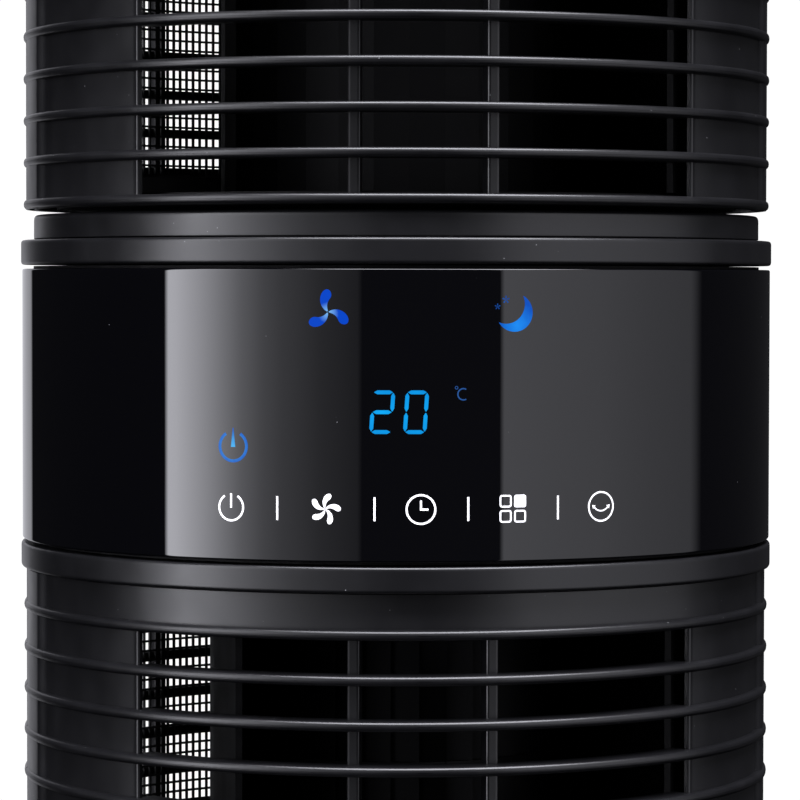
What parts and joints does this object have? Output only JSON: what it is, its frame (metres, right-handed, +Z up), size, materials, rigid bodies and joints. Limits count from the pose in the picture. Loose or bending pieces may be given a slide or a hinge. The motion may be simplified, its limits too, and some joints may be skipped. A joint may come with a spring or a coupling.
{
  "type": "tower fan",
  "caption": "Two-section tower fan: round base, two stacked ribbed fan heads that swing on their necks, and a glossy touch-control band with a lit display between them.",
  "frame": {"origin": "centre of the footprint, at the underside of the rubber feet", "axes": "+Z up the tower, -Y towards the front (outlet and display), +X to the right seen from the front"},
  "size_m": [0.3, 0.3, 0.9243],
  "materials": {
    "satin_black_plastic": "satin, fine moulded grain",
    "gloss_black_plastic": "high gloss, lightly dusty",
    "dark_grey_plastic": "matt",
    "black_rubber": "matt",
    "zinc_plated_steel": "zinc plated",
    "ballast_iron": "as cast",
    "natural_nylon": "natural, matt",
    "sintered_bronze": "oiled",
    "green_board": "solder resist",
    "display_window": "smoked, lit blue from behind"
  },
  "bodies": {
    "base": {"base_plate": "satin_black_plastic", "base_cover": "satin_black_plastic", "ballast_ring": "ballast_iron", "base_spindle": "zinc_plated_steel", "base_gear_sector": "natural_nylon", "base_thrust_washer": "natural_nylon", "power_board": "green_board", "cord_inlet_grommet": "black_rubber", "base_screw_1": "zinc_plated_steel", "base_screw_2": "zinc_plated_steel", "base_screw_3": "zinc_plated_steel", "base_screw_4": "zinc_plated_steel", "rubber_foot_1": "black_rubber", "rubber_foot_2": "black_rubber", "rubber_foot_3": "black_rubber", "rubber_foot_4": "black_rubber", "rubber_foot_5": "black_rubber", "rubber_foot_6": "black_rubber"},
    "tower": {"lower_turntable": "dark_grey_plastic", "lower_retaining_ring": "zinc_plated_steel", "lower_swing_motor": "zinc_plated_steel", "lower_front_grille": "satin_black_plastic", "lower_rear_grille": "satin_black_plastic", "lower_rear_mesh": "dark_grey_plastic", "lower_motor_housing": "dark_grey_plastic", "lower_motor": "zinc_plated_steel", "lower_bearing_bush": "sintered_bronze", "lower_scroll": "dark_grey_plastic", "lower_tongue_plate": "dark_grey_plastic", "band_lower_flange": "satin_black_plastic", "band_panel": "gloss_black_plastic", "band_chassis": "dark_grey_plastic", "control_board": "green_board", "display_module": "display_window", "touch_sensor_strip": "green_board", "neck_flange": "satin_black_plastic", "neck_collar": "satin_black_plastic", "neck_spindle": "zinc_plated_steel", "neck_thrust_washer": "natural_nylon", "neck_gear_sector": "natural_nylon"},
    "upper_head": {"upper_turntable": "dark_grey_plastic", "upper_retaining_ring": "zinc_plated_steel", "upper_swing_motor": "zinc_plated_steel", "upper_front_grille": "satin_black_plastic", "upper_rear_grille": "satin_black_plastic", "upper_rear_mesh": "dark_grey_plastic", "upper_motor_housing": "dark_grey_plastic", "upper_motor": "zinc_plated_steel", "upper_bearing_bush": "sintered_bronze", "upper_scroll": "dark_grey_plastic", "upper_tongue_plate": "dark_grey_plastic", "upper_top_flange": "satin_black_plastic", "top_cap": "gloss_black_plastic"},
    "lower_blower": {"lower_blower_wheel": "dark_grey_plastic", "lower_blower_shaft": "zinc_plated_steel"},
    "upper_blower": {"upper_blower_wheel": "dark_grey_plastic", "upper_blower_shaft": "zinc_plated_steel"},
    "lower_pinion": {"lower_swing_pinion": "natural_nylon"},
    "upper_pinion": {"upper_swing_pinion": "natural_nylon"}
  },
  "joints": [
    {"name": "tower_swing", "type": "hinge", "parent": "base", "child": "tower", "pos_m": [0, 0, 0.038], "axis": [0, 0, 1], "range_deg": [-40, 40]},
    {"name": "upper_head_swing", "type": "hinge", "parent": "tower", "child": "upper_head", "pos_m": [0, 0, 0.5165], "axis": [0, 0, 1], "range_deg": [-40, 40]},
    {"name": "lower_blower_spin", "type": "hinge", "parent": "tower", "child": "lower_blower", "pos_m": [0, 0, 0.28], "axis": [0, 0, 1], "continuous": true},
    {"name": "upper_blower_spin", "type": "hinge", "parent": "upper_head", "child": "upper_blower", "pos_m": [0, 0, 0.76], "axis": [0, 0, 1], "continuous": true},
    {"name": "lower_pinion_spin", "type": "hinge", "parent": "tower", "child": "lower_pinion", "pos_m": [0, 0.0288, 0.0461], "axis": [0, 0, 1], "range_deg": [-122, 122]},
    {"name": "upper_pinion_spin", "type": "hinge", "parent": "upper_head", "child": "upper_pinion", "pos_m": [0, 0.0288, 0.5246], "axis": [0, 0, 1], "range_deg": [-122, 122]}
  ],
  "couplings": [
    {"joint": "lower_pinion_spin", "follows": "tower_swing", "ratio": 3},
    {"joint": "upper_pinion_spin", "follows": "upper_head_swing", "ratio": 3}
  ]
}
